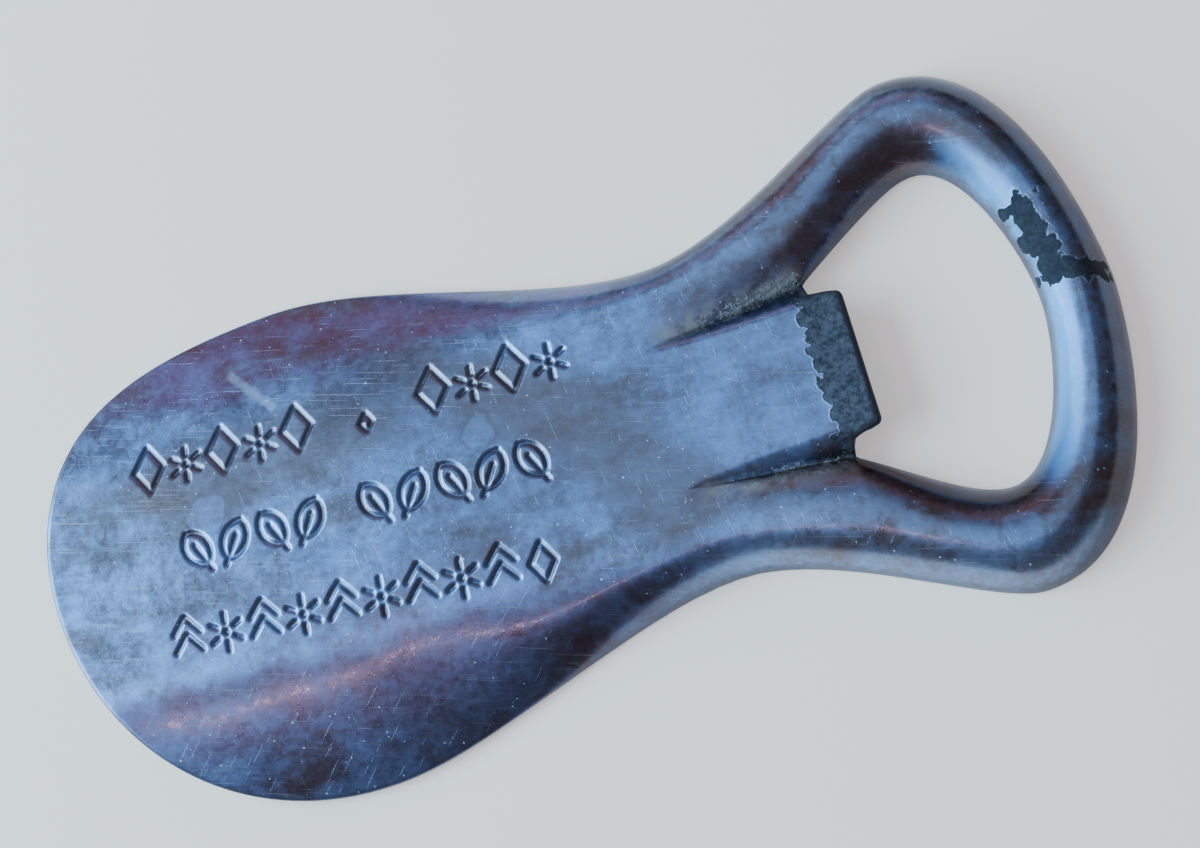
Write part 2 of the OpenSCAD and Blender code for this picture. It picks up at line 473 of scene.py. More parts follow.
def to_outline(top, outline):
    """Level distance to an outline of [x, y] points, and the level direction away from it."""
    flat = top[..., :2].reshape(-1, 2)
    away = np.zeros_like(flat)
    dist = np.full(len(flat), FAR)
    near = np.zeros(len(flat), bool)
    for k in range(0, len(outline), OUTLINE_BLOCK):
        block = outline[k : k + OUTLINE_BLOCK]
        low, high = block.min(axis=0) - outline_reach, block.max(axis=0) + outline_reach
        near |= ((flat > low) & (flat < high)).all(axis=1)
    tangent = np.gradient(outline, axis=0)
    inward = unit(np.stack([-tangent[:, 1], tangent[:, 0]], axis=1))
    picked = np.flatnonzero(near)
    for k in range(0, len(picked), POINT_BLOCK):
        some = picked[k : k + POINT_BLOCK]
        gap = np.linalg.norm(flat[some][:, None] - outline[None], axis=2)
        best = gap.argmin(axis=1)
        dist[some] = gap[np.arange(len(some)), best]
        away[some] = inward[best]
    return dist.reshape(top.shape[:2]), away.reshape(top.shape[:2] + (2,))


class Sheet:
    """One region of the pressing, as a closed mesh one sheet thickness deep.

    top is a grid of points on its upper face. dist and inward are each point's distance from the
    free edge and the direction away from it, and run is how far the edge's rounding reaches. free
    says which ends of the grid are cut edges, the others being joints to the next region, and
    carve is the depth of the stamped ornament. skin holds the visible faces, and inner the joints.
    """

    def __init__(self, node, top, dist, inward, run, free, carve=None):
        self.node = node
        rows, cols = top.shape[:2]
        normal = across_normal(top)
        for j in free.get("upright_columns", ()):
            upright = top[:, j, 0] > crease_x
            normal[upright, j] = (0, 0, 1)
        under = top - sheet_t * normal
        under[..., 2] = np.maximum(under[..., 2], 0)
        down = unit(under - top)
        run = np.broadcast_to(run, (rows, cols))
        reach = dist / np.maximum(np.hypot(inward[..., 0], inward[..., 1]), 0.05)
        s = 0.5 * (1 - np.clip(reach / run, 0, 1))
        in_reach = reach < run
        move = inward * (run * (1 - s) ** 2 - reach)[..., None] + down * (run * s**2)[..., None]
        shaped = top + np.where(in_reach[..., None], move, 0)
        if carve is not None:
            shaped[..., 2] -= carve
        shaped[..., 2] = np.maximum(shaped[..., 2], 0)
        self.is_free = self.free_mask(free, rows, cols)
        self.build(top, shaped, under, down, inward, run)

    @staticmethod
    def free_mask(free, rows, cols):
        mask = np.zeros((rows, cols), bool)
        mask[:, 0] = free["left"]
        mask[:, -1] = free["right"]
        mask[-1] |= free.get("end", False)
        mask[0] |= free.get("start", False)
        return mask

    def build(self, top, shaped, under, down, inward, run):
        """Joins the upper face to a coarser underside by loops of points down the edges."""
        rows, cols = top.shape[:2]
        ring = [(0, j) for j in range(cols)]
        ring += [(i, cols - 1) for i in range(1, rows)]
        ring += [(rows - 1, j) for j in range(cols - 2, -1, -1)]
        ring += [(i, 0) for i in range(rows - 2, 0, -1)]
        ri, rj = np.array(ring).T

        edge, low, b, a = top[ri, rj], under[ri, rj], down[ri, rj], inward[ri, rj]
        length = run[ri, rj][:, None]
        free = self.is_free[ri, rj][:, None]
        lower = np.where(free, lower_edge_run, 0)
        low_point = low + np.where(free, (a * [1, 1, 0] - b) * lower / 4, 0)
        low_point[:, 2] = np.maximum(low_point[:, 2], 0)
        loops = []
        for k in range(1, WALL_LOOPS + 1):
            if k <= UPPER_LOOPS:
                s = 0.5 + k / (2 * UPPER_LOOPS)
                curved = edge + a * length * (1 - s) ** 2 + b * length * s**2
            else:
                s = (k - 1 - UPPER_LOOPS) / (2 * LOWER_LOOPS)
                curved = low - b * lower * (1 - s) ** 2 + a * [1, 1, 0] * lower * s**2
            straight = lerp(shaped[ri, rj], low_point, k / (WALL_LOOPS + 1))
            loop = np.where(free, curved, straight)
            loop[:, 2] = np.maximum(loop[:, 2], 0)
            loops.append(loop)

        under_grid = under.copy()
        under_grid[ri, rj] = low_point
        coarse = under_grid[::COARSE, ::COARSE]
        self.points = np.vstack([shaped.reshape(-1, 3)] + loops + [coarse.reshape(-1, 3)])

        top_id = np.arange(rows * cols).reshape(rows, cols)
        loop_id = [rows * cols + k * len(ring) + np.arange(len(ring)) for k in range(WALL_LOOPS)]
        under_id = rows * cols + WALL_LOOPS * len(ring)
        under_id = under_id + np.arange(coarse.shape[0] * coarse.shape[1]).reshape(coarse.shape[:2])

        skin = [self.quads(top_id), self.quads(under_id)[:, ::-1]]
        walls = [top_id[ri, rj]] + loop_id
        free_ring = self.is_free[ri, rj]
        seg_free = free_ring & np.roll(free_ring, -1)
        inner = []
        for upper, lower_loop in zip(walls, walls[1:]):
            face = np.stack([upper, np.roll(upper, -1), np.roll(lower_loop, -1), lower_loop], axis=1)
            skin.append(face[seg_free])
            inner.append(face[~seg_free])
        last = loop_id[-1]
        step = len(ring) // COARSE
        under_ring = under_id[ri[::COARSE] // COARSE, rj[::COARSE] // COARSE]
        for k in range(step):
            p, q = under_ring[k], under_ring[(k + 1) % step]
            w = [last[(k * COARSE + n) % len(ring)] for n in range(COARSE + 1)]
            half = COARSE // 2
            fan = [(w[n], w[n + 1], p) for n in range(half)]
            fan += [(w[n], w[n + 1], q) for n in range(half + 1, COARSE)]
            fan.append((w[half], w[half + 1], q, p))
            (skin if seg_free[k * COARSE] else inner).append(fan)
        self.skin = self.as_faces(skin)
        self.inner = self.as_faces(inner)
        self.points[:, 1] += lean(self.points[:, 0])
        self.orient()

    @staticmethod
    def quads(ids):
        corners = [ids[:-1, :-1], ids[1:, :-1], ids[1:, 1:], ids[:-1, 1:]]
        return np.stack(corners, axis=-1).reshape(-1, 4)

    @staticmethod
    def as_faces(groups):
        return [tuple(int(n) for n in f) for g in groups for f in g]

    def orient(self):
        """Merges points that coincide, drops what that flattens, and turns every face outward."""
        keys = np.round(self.points / SAME_POINT).astype(np.int64)
        _, first, back = np.unique(keys, axis=0, return_index=True, return_inverse=True)
        back = back.reshape(-1)
        self.points = self.points[first]

        def clean(faces):
            out = []
            for f in faces:
                ids = [int(back[n]) for n in f]
                ids = [n for k, n in enumerate(ids) if n != ids[k - 1]]
                if len(set(ids)) == len(ids) and len(ids) > 2:
                    out.append(tuple(ids))
            return out

        self.skin, self.inner = clean(self.skin), clean(self.inner)
        normal, ids = face_normals(self.points, self.skin + self.inner)
        if (self.points[ids[:, 0]] * normal).sum() < 0:
            self.skin = [f[::-1] for f in self.skin]
            self.inner = [f[::-1] for f in self.inner]


def face_normals(points, faces):
    """Area-weighted normals of faces of 3 or 4 corners."""
    ids = np.array([f if len(f) == 4 else f + (f[2],) for f in faces])
    a, b, c, d = (points[ids[:, k]] for k in range(4))
    return np.cross(c - a, d - b) / 2, ids


def shared_normals(sheets):
    """One normal for each point of the whole pressing, so that shading runs over the joints."""
    every = np.vstack([s.points for s in sheets])
    keys = np.round(every / SAME_NORMAL).astype(np.int64)
    _, back = np.unique(keys, axis=0, return_inverse=True)
    back = back.reshape(-1)
    total = np.zeros((back.max() + 1, 3))
    ends = np.cumsum([len(s.points) for s in sheets])
    own = np.split(back, ends[:-1])
    for s, keys in zip(sheets, own):
        n, ids = face_normals(s.points, s.skin)
        for k in range(4):
            np.add.at(total, keys[ids[:, k]], n)
    total = unit(total)
    return [total[keys] for keys in own]


def wear_and_light_fields(sheet, normals, outline):
    """What the metal's wear and its painted light depend on, at each point of a sheet, in millimetres
    or as a share.
    """
    below = normals[:, 2] < UNDERSIDE
    x, y, z = sheet.points.T
    level = np.stack([x, y - lean(x), z], axis=1)[:, None]
    crisp = crispness(x) * (1 - ramp(x, notch_x, notch_x + 1))
    past_crease = np.abs(y) - crease_y(np.clip(x, crease_x, notch_x))
    crease_gap = np.where(crisp > 0, past_crease, FAR)
    is_blade = sheet.node == "shoehorn_blade"
    stamp = ornament_depth(x, y) / groove_depth if is_blade else np.zeros_like(x)
    if sheet.node == "tongue":
        bare = np.minimum(x - (lip_x - lip_bare_run), bare_half_width - np.abs(y))
    elif sheet.node == "bow":
        bare = np.max([radius - to_line(x, y, *ends) for *ends, radius in BOW_CHIPS], axis=0)
    else:
        bare = np.full_like(x, -FAR)
    stain = np.max([radius - to_line(x, y, *ends) for *ends, radius in STAINS], axis=0)
    return {
        "stain": stain,
        "edge_gap": to_outline(level, outline)[0][:, 0],
        "crease_gap": crease_gap,
        "inner_gap": np.abs(y) - inner_y(x),
        "crisp": crisp,
        "stamp": np.where(below, 0, stamp),
        "bare": np.where(below, -FAR, bare),
        "painted_highlight": np.where(below, -FAR, PAINTED_HIGHLIGHT_STROKE[-1] - to_line(x, y, *PAINTED_HIGHLIGHT_STROKE[:-1])),
    }


def make_piece(sheet, normals, fields, name, material):
    """Mesh object of one region, standing for its CAD node."""
    mesh = bpy.data.meshes.new(name)
    faces = sheet.skin + sheet.inner
    mesh.from_pydata((sheet.points * MM).tolist(), [], faces)
    mesh.polygons.foreach_set("use_smooth", [True] * len(sheet.skin) + [False] * len(sheet.inner))
    inner_n = unit(face_normals(sheet.points, sheet.inner)[0]) if sheet.inner else []
    loops = [normals[n] for f in sheet.skin for n in f]
    loops += [n for f, n in zip(sheet.inner, inner_n) for _ in f]
    mesh.normals_split_custom_set([tuple(n) for n in loops])
    for field, values in fields.items():
        layer = mesh.attributes.new(field, "FLOAT", "POINT")
        layer.data.foreach_set("value", values.astype(np.float32))
    mesh.materials.append(material)
    piece = bpy.data.objects.new(name, mesh)
    bpy.context.scene.collection.objects.link(piece)
    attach(piece, BODY)
    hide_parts(sheet.node)


# -------------------- the six regions


def resample(line, gap):
    """The same line with points at an even distance."""
    along = np.concatenate([[0], np.cumsum(np.linalg.norm(np.diff(line, axis=0), axis=1))])
    at = np.linspace(0, along[-1], int(along[-1] / gap))
    return np.stack([np.interp(at, along, line[:, k]) for k in (0, 1)], axis=1)


# Distance between the points of an outline: where it shapes an edge, on the small lip, and where
# it only places the wear
OUTLINE_GAP = 0.04
LIP_GAP = 0.03
WEAR_GAP = 0.2

half_outline = side_line[np.concatenate([[True], np.diff(side_line[:, 0]) > 1e-9])]
BLADE_OUTLINE = np.vstack([half_outline[::-1], (half_outline * [1, -1])[1:]])
BLADE_OUTLINE = resample(BLADE_OUTLINE, OUTLINE_GAP)

loop_line = bezier(BOW_CURVE, fine)
opening_line = np.vstack([cheek_line, bezier(INNER_CURVE, fine)[1:]])
lip_line = np.array([
    (notch_x, crease_y(notch_x)),
    (notch_x, tongue_half_root),
    (lip_x - lip_r, tongue_half_lip),
    (lip_x, tongue_half_lip - lip_r),
    (lip_x, 0),
])
EVERY_OUTLINE = np.vstack([
    resample(line * [1, side], WEAR_GAP)
    for line in (half_outline, loop_line, opening_line, lip_line)
    for side in (1, -1)
])

# Distances from the edge at which a row has a point, so that the rounding is smooth
EDGE_STEPS = np.array([0, 0.03, 0.09, 0.17, 0.27, 0.4, 0.6])

# Slope of the outline, with its doubled stations kept a hair apart
SIDE_SLOPE = np.gradient(side_line[:, 1], side_line[:, 0] + 1e-9 * np.arange(len(side_line)))


def blade_places(x):
    """Places across the blade: even in the middle, then coarser, then fine at the edge."""
    w = half_w(x)
    slope = np.interp(x, side_line[:, 0], SIDE_SLOPE)
    flank = EDGE_STEPS * np.sqrt(1 + np.clip(slope, -9, 9) ** 2)
    flank = np.minimum(flank, w * EDGE_STEPS / EDGE_STEPS[-1] * 0.4)
    outer_cells = 14
    middle_cells = RIM_CELLS * 2 + PLATE_CELLS - 2 * (outer_cells + len(EDGE_STEPS) - 1)
    core = min(0.66 * w, w - flank[-1] - 0.1 * w)
    half = np.concatenate([
        np.linspace(core, w - flank[-1], outer_cells + 1)[1:],
        w - flank[::-1][1:],
    ])
    return np.concatenate([-half[::-1], np.linspace(-core, core, middle_cells + 1), half])


def pressed_places(x):
    """Places across the waist: rim, plate and rim, so that a crease has its own points."""
    w, c = half_w(x), crease_y(x)
    rim = lerp(c, w, ease(RIM_CELLS))
    plate = np.linspace(-c, c, PLATE_CELLS + 1)
    return np.concatenate([-rim[::-1], plate[1:-1], rim])


def level_grid(stations, places):
    x = np.repeat(stations[:, None], places.shape[1], axis=1)
    return np.stack([x, places, top_z(x, places) + ripple(x, places)], axis=2)


def edge_facts(top, outline):
    """Distance from the free edge, and the direction along the face away from it."""
    dist, away = to_outline(top, outline)
    d = 0.02
    x, y = top[..., 0], top[..., 1]
    near = top_z(x + d * away[..., 0], y + d * away[..., 1])
    slope = (top_z(x + 2 * d * away[..., 0], y + 2 * d * away[..., 1]) - near) / d
    inward = unit(np.concatenate([away, slope[..., None]], axis=2))
    return dist, inward


def edge_run(x):
    return lerp(blade_edge_run, rim_edge_run, ramp(x, press_start_x, press_full_x))


def blade_sheet():
    """The blade, with close rows where it is stamped and few where the bending is slow."""
    nose = np.array([0, 0.01, 0.04, 0.09, 0.16, 0.25, 0.36, 0.5, 0.68, 0.9, 1.2, 1.5])
    nose_end, stamp_start, stamp_end = tip_x + 1.8, -43.8, 3.6
    plain = np.linspace(nose_end, stamp_start, PLAIN_ROWS)[:-1]
    stamped = np.linspace(stamp_start, stamp_end, STAMPED_ROWS)[:-1]
    count = len(nose) + len(plain) + len(stamped)
    rest = np.linspace(stamp_end, blade_end_x, whole(count + 3, COARSE) - count + 1)
    stations = np.concatenate([tip_x + nose, plain, stamped, rest])
    top = level_grid(stations, np.array([blade_places(x) for x in stations]))
    dist, inward = edge_facts(top, BLADE_OUTLINE)
    carve = ornament_depth(top[..., 0], top[..., 1] + lean(top[..., 0]))
    free = {"left": True, "right": True, "start": True}
    return Sheet("shoehorn_blade", top, dist, inward, edge_run(top[..., 0]), free, carve)


def waist_sheet():
    stations = np.linspace(blade_end_x, waist_end_x, WAIST_ROWS)
    shift = ramp(stations, blade_end_x, crisp_start_x)[:, None]
    places = lerp(
        np.array([blade_places(x) for x in stations]),
        np.array([pressed_places(x) for x in stations]),
        shift,
    )
    top = level_grid(stations, places)
    dist, inward = edge_facts(top, BLADE_OUTLINE)
    free = {"left": True, "right": True, "upright_columns": (RIM_CELLS, RIM_CELLS + PLATE_CELLS)}
    return Sheet("waist", top, dist, inward, edge_run(top[..., 0]), free)


def rim_sheet(node, outer, inner, ridge, foot, crisp, free):
    """Half-tube between an outer and an inner line, with its distances measured along each row."""
    q = ease(RIM_CELLS)[None, :]
    line = lerp(outer[:, None], inner[:, None], q[..., None])
    z = rim_z(q, ridge[:, None], foot[:, None], crisp[:, None])
    z = z + ripple(line[..., 0], line[..., 1]) * np.minimum(1, np.minimum(q, 1 - q) / 0.1)
    top = np.concatenate([line, z[..., None]], axis=2)
    width = np.linalg.norm(inner - outer, axis=1)[:, None]
    near_outer = q < 0.5
    inner_free = np.broadcast_to(free["right"], len(outer))[:, None]
    dist = np.where(near_outer, q * width, np.where(inner_free, (1 - q) * width, FAR))
    first = unit(top[:, 1] - top[:, 0])[:, None]
    final = unit(top[:, -2] - top[:, -1])[:, None]
    inward = np.where(near_outer[..., None], first, final)
    return Sheet(node, top, dist, inward, rim_edge_run, free)


def rail_sheet(node, side):
    joined = np.linspace(waist_end_x, notch_x, JOINED_ROWS)
    clear = np.linspace(notch_x, loop_x, CLEAR_ROWS)[1:]
    x = np.concatenate([joined, clear])
    outer = np.stack([x, side * half_w(x)], axis=1)
    inner = np.stack([x, side * inner_y(x)], axis=1)
    free = {"left": True, "right": x > notch_x + 1e-6}
    return rim_sheet(node, outer, inner, ridge_z(x), foot_z(x), crispness(x), free)


def bow_sheet():
    t = np.linspace(0, 1, HALF_BOW_ROWS)
    o, i = bezier(BOW_CURVE, t), bezier(INNER_CURVE, t)
    mirror = np.array([1, -1])
    outer = np.vstack([o, o[-2::-1] * mirror])
    inner = np.vstack([i, i[-2::-1] * mirror])
    t = np.concatenate([t, t[-2::-1]])
    ridge = lerp(rim_h, bow_h, ramp(t, 0, 1))
    foot = np.full(len(t), foot_z(loop_x))
    free = {"left": True, "right": True}
    return rim_sheet("bow", outer, inner, ridge, foot, np.ones(len(t)), free)


def tongue_sheet():
    root_x, corner_x = notch_x + notch_run, lip_x - lip_r
    plate = np.linspace(waist_end_x, notch_x, JOINED_ROWS)
    lip = np.linspace(root_x, corner_x, LIP_ROWS)
    turn = np.radians(np.array([15, 30, 42, 52, 61, 69, 76, 83, 90]))
    x = np.concatenate([plate, lip, corner_x + lip_r * np.sin(turn)])
    half = np.concatenate([
        crease_y(plate),
        np.linspace(tongue_half_root, tongue_half_lip, LIP_ROWS),
        tongue_half_lip - lip_r + lip_r * np.cos(turn),
    ])
    edge = np.minimum(EDGE_STEPS * 1.1, 1)
    middle = PLATE_CELLS - 2 * (len(edge) - 1)
    is_plate = x <= notch_x + 1e-6
    places = []
    for h, flat in zip(half, is_plate):
        if flat:
            places.append(np.linspace(-h, h, PLATE_CELLS + 1))
        else:
            rest = np.linspace(-h + edge[-1], h - edge[-1], middle + 1)
            places.append(np.concatenate([-h + edge[:-1], rest, h - edge[:-1][::-1]]))
    places = np.array(places)
    xs = np.repeat(x[:, None], places.shape[1], axis=1)
    bend = 1 - ramp(xs, notch_x, corner_x)
    z = lerp(plate_z, flat_z(np.minimum(xs, notch_x), places), bend) + ripple(xs, places)
    top = np.stack([xs, places, z], axis=2)
    beyond = ~is_plate
    left = np.stack([x[beyond], half[beyond]], axis=1)
    outline = resample(np.vstack([left, left[::-1] * [1, -1]])[::-1], LIP_GAP)
    dist, away = to_outline(top, outline)
    dist[is_plate] = FAR
    inward = np.concatenate([away, np.zeros_like(dist)[..., None]], axis=2)
    free = {"left": beyond, "right": beyond, "end": True}
    return Sheet("tongue", top, dist, inward, lip_edge_run, free)


# -------------------- materials

PLATE_DARK = (0.135, 0.13, 0.165)
PLATE_PALE = (0.195, 0.375, 0.73)
PLATE_BROWN = (0.15, 0.125, 0.13)
# Tints of painted reflection (red) and painted shade (navy, brown, dusk), multiplied over the plating
REFLECTED_RED = (0.95, 0.46, 0.56)
NAVY_SHADE = (0.5, 0.35, 0.35)
BROWN_SHADE = (0.78, 0.56, 0.47)
DUSK_SHADE = (0.76, 0.6, 0.56)
SPECK = (0.62, 0.76, 0.86)
NEAR_BLACK = (0.03, 0.026, 0.024)
FILM = (0.34, 0.32, 0.28)
CRUMB = (0.42, 0.46, 0.44)
STEEL_DARK = (0.02, 0.026, 0.036)
STEEL_PALE = (0.12, 0.14, 0.18)
EDGE = (0.08, 0.09, 0.12)
# Colour of the painted shade on steep flanks
FLANK_SHADE = (0.3, 0.25, 0.25)
RAIL_WARMTH = (1.14, 1.0, 0.89)
CORNER_SHADE = (0.8, 0.74, 0.72)
# Colour of the painted highlight on the blade
HIGHLIGHT_BLUE = (0.36, 0.6, 0.95)
# Colours of the painted reflection on the bow's inner slope
REFLECTION_BAND = (0.07, 0.23, 0.5)
REFLECTION_RIM = (0.2, 0.56, 1.0)


class Shading:
    """Node tree of the metal. Its patterns are placed in millimetres of the shared frame."""

    def __init__(self, name):
        self.material = bpy.data.materials.new(name)
        self.material.use_nodes = True
        self.tree = self.material.node_tree
        self.shader = self.tree.nodes["Principled BSDF"]
        place = self.add("ShaderNodeTexCoord", {}).outputs["Object"]
        self.place = self.stretched(place, (1 / MM, 1 / MM, 1 / MM))
        self.x, self.y, _ = self.parts(self.place)
        normal = self.add("ShaderNodeNewGeometry", {}).outputs["Normal"]
        self.normal_x, self.normal_y, self.upright = self.parts(normal)

        # Patterns from coarse to fine, and the fields of wear and painted light, which several layers
        # share
        self.cloud = self.noise(9.0, 5.0, 0.6, 0.6)
        self.haze = self.noise(3.2, 6.0, 0.68, 0.4)
        self.mottle = self.noise(0.85, 5.0, 0.7)
        self.grain = self.noise(0.16, 3.0, 0.6)
        drawn_out = self.stretched(self.place, (1 / 13, 1 / 3, 1 / 13), 0.08)
        self.streak = self.noise(1.0, 4.0, 0.6, 0.5, drawn_out)
        self.wander = self.math("SUBTRACT", self.noise(8.0, 4.0, 0.6, 0.3), 0.5)
        self.edge_gap = self.field("edge_gap")
        self.crease_gap = self.field("crease_gap")
        self.inner_gap = self.field("inner_gap")
        self.crisp = self.field("crisp")
        self.bare = self.field("bare")
        self.ragged_edge = self.total((1.0, self.edge_gap), (0.5, self.mottle))

    def add(self, kind, inputs, **settings):
        """Node with these settings, its inputs fed with values or other nodes' outputs."""
        node = self.tree.nodes.new(kind)
        for key, value in settings.items():
            setattr(node, key, value)
        for key, value in inputs.items():
            self.feed(node.inputs[key], value)
        return node

    def feed(self, socket, value):
        if isinstance(value, bpy.types.NodeSocket):
            self.tree.links.new(value, socket)
        else:
            socket.default_value = value

    def parts(self, vector):
        return self.add("ShaderNodeSeparateXYZ", {0: vector}).outputs

    def stretched(self, vector, scale, turn=0.0, shift=(0, 0, 0)):
        """Coordinates turned about Z, then scaled."""
        inputs = {"Vector": vector, "Location": shift, "Rotation": (0, 0, turn)}
        turned = self.add("ShaderNodeMapping", inputs).outputs[0]
        return self.add("ShaderNodeVectorMath", {0: turned, 1: scale}, operation="MULTIPLY").outputs[0]

    def math(self, operation, a, b=0.0, c=0.0, clamp=False):
        inputs = {0: a, 1: b, 2: c}
        return self.add("ShaderNodeMath", inputs, operation=operation, use_clamp=clamp).outputs[0]

    def total(self, *terms):
        """Sum of (share, value) terms."""
        out = None
        for share, value in terms:
            term = self.math("MULTIPLY", value, share)
            out = term if out is None else self.math("ADD", out, term)
        return out

    def product(self, *values):
        out = values[0]
        for value in values[1:]:
            out = self.math("MULTIPLY", out, value)
        return out

    def field(self, name):
        node = self.add("ShaderNodeAttribute", {}, attribute_type="GEOMETRY", attribute_name=name)
        return node.outputs["Fac"]

    def noise(self, size, detail=4.0, rough=0.55, twist=0.0, vector=None):
        """Cloudy pattern round 0.5, with features of about this size."""
        inputs = {"Vector": vector or self.place, "Scale": 1 / size}
        inputs |= {"Detail": detail, "Roughness": rough, "Distortion": twist}
        return self.add("ShaderNodeTexNoise", inputs).outputs["Fac"]

    def cells(self, size, vector=None):
        """Cells of about this size: the distance to a cell's centre, and its random colour."""
        inputs = {"Vector": vector or self.place, "Scale": 1 / size}
        node = self.add("ShaderNodeTexVoronoi", inputs)
        return node.outputs["Distance"], node.outputs["Color"]

    def step(self, value, low, high, start=0.0, end=1.0):
        """Smooth change from start to end as the value goes from low to high."""
        inputs = {"Value": value, "From Min": low, "From Max": high, "To Min": start, "To Max": end}
        node = self.add("ShaderNodeMapRange", inputs, interpolation_type="SMOOTHSTEP")
        return node.outputs["Result"]

    def mix(self, share, a, b, blend="MIX"):
        a, b = (c if isinstance(c, bpy.types.NodeSocket) else (*c, 1) for c in (a, b))
        inputs = {"Factor": share, 6: a, 7: b}
        return self.add("ShaderNodeMix", inputs, data_type="RGBA", blend_type=blend).outputs[2]

    def layer(self, color, tint, strength, mask, blend="MIX"):
        """The colour with a tint laid over it where the mask is, at this strength."""
        return self.mix(self.math("MULTIPLY", mask, strength), color, tint, blend)

    def scratches(self, length, width, turn, low, high, shift):
        """Fine straight marks along one direction, broken up along their length."""
        lines = self.stretched(self.place, (1 / length, 1 / width, 1 / length), turn, shift)
        return self.step(self.noise(1.0, 2.0, 0.5, 0.0, lines), low, high)

    def specks(self, size, radius, share):
        """Small round spots in a share of the cells, with their own sizes."""
        gap, color = self.cells(size)
        pick, grow, _ = self.parts(color)
        reach = self.math("MULTIPLY", grow, radius / size)
        spot = self.step(self.math("SUBTRACT", reach, gap), 0.0, 0.35 * radius / size)
        return self.math("MULTIPLY", spot, self.math("LESS_THAN", pick, share))

    def rings(self, size, radius, rim, share):
        """Dried drops: the rim and the inside of rings in a share of the cells."""
        wobble = self.add("ShaderNodeTexNoise", {"Vector": self.place, "Scale": 1 / radius})
        inputs = {0: wobble.outputs["Color"], "Scale": 0.8 * radius}
        shift = self.add("ShaderNodeVectorMath", inputs, operation="SCALE").outputs[0]
        bent = self.add("ShaderNodeVectorMath", {0: self.place, 1: shift}, operation="ADD").outputs[0]
        gap, color = self.cells(size, self.stretched(bent, (1, 1, 0.2)))
        pick, grow, _ = self.parts(color)
        reach = self.math("MULTIPLY_ADD", grow, 0.6 * radius / size, 0.5 * radius / size)
        chosen = self.math("LESS_THAN", pick, share)
        off = self.math("ABSOLUTE", self.math("SUBTRACT", gap, reach))
        edge = self.step(off, rim / size, 0.2 * rim / size)
        inside = self.step(self.math("SUBTRACT", reach, gap), 0.0, rim / size)
        return self.product(edge, chosen), self.product(inside, chosen)


def plating(g):
    """Plating from dark clear patches to pale blue haze, with brown stains."""
    patches = g.stretched(g.place, (1 / 22, 1 / 8, 1 / 22), 0.12, (4, 3, 0))
    patch = g.step(g.noise(1.0, 3.0, 0.5, 0.4, patches), 0.5, 0.72)
    tone = g.total((0.4, g.cloud), (0.36, g.haze), (0.3, g.mottle), (0.2, g.grain),
                   (0.34, g.streak), (-0.2, patch))
    color = g.mix(g.step(tone, 0.58, 1.0), PLATE_DARK, PLATE_PALE)
    flecks = g.noise(0.8, 6.0, 0.72, 0.3)
    color = g.mix(g.step(flecks, 0.55, 0.62, 0.0, 0.2), color, PLATE_PALE)
    color = g.mix(g.step(flecks, 0.45, 0.39, 0.0, 0.25), color, PLATE_DARK)
    blot = g.math("SUBTRACT", g.haze, 0.5)
    stain = g.total((1.0, g.field("stain")), (9.0, g.wander), (4.0, blot))
    return g.mix(g.step(stain, -1.5, 2.5, 0.0, 0.62), color, PLATE_BROWN)


def reflection_and_shade_tints(g, color):
    """Painted reflection: purple on the upper shoulder. Painted shade: navy low on the blade, and
    brown and darker tints inside the rails.
    """
    # Painted reflection: a purple tint over the blade's upper shoulder
    upper = g.total((1.0, g.y), (0.07, g.x), (7.0, g.wander))
    along = g.product(g.step(g.x, 26.0, 0.0), g.step(g.x, -46.0, -36.0))
    purple_reflection = g.product(g.step(upper, 13.8, 15.2), along, g.step(g.streak, 0.34, 0.5))
    color = g.layer(color, REFLECTED_RED, 0.7, purple_reflection, "MULTIPLY")
    # Painted shade: a navy tint over the lower half of the blade
    lower = g.total((-1.0, g.y), (-0.05, g.x), (4.0, g.wander))
    navy_shade = g.product(g.step(lower, 10.8, 13.2), g.step(g.x, 16.0, 2.0))
    color = g.layer(color, NAVY_SHADE, 0.9, navy_shade, "MULTIPLY")
    # Painted shade: brown on the lower rail's slopes that face +Y
    lower_rail = g.product(g.step(g.y, -5.0, -8.0), g.step(g.x, 11.0, 17.0))
    slope = g.product(g.step(g.normal_y, 0.04, 0.3), lower_rail)
    color = g.mix(slope, color, BROWN_SHADE, "MULTIPLY")
    # Painted shade: darker over the upper rail's inner slope
    dusk_gap = g.total((1.0, g.inner_gap), (3.0, g.wander), (1.2, g.haze))
    upper_rail = g.product(g.step(g.y, 4.0, 6.0), g.step(g.x, 10.0, 16.0), g.step(g.x, 46.0, 36.0))
    dusk_shade = g.product(g.step(dusk_gap, 5.6, 3.4), g.step(g.inner_gap, -0.3, 0.2), upper_rail)
    return g.mix(dusk_shade, color, DUSK_SHADE, "MULTIPLY")


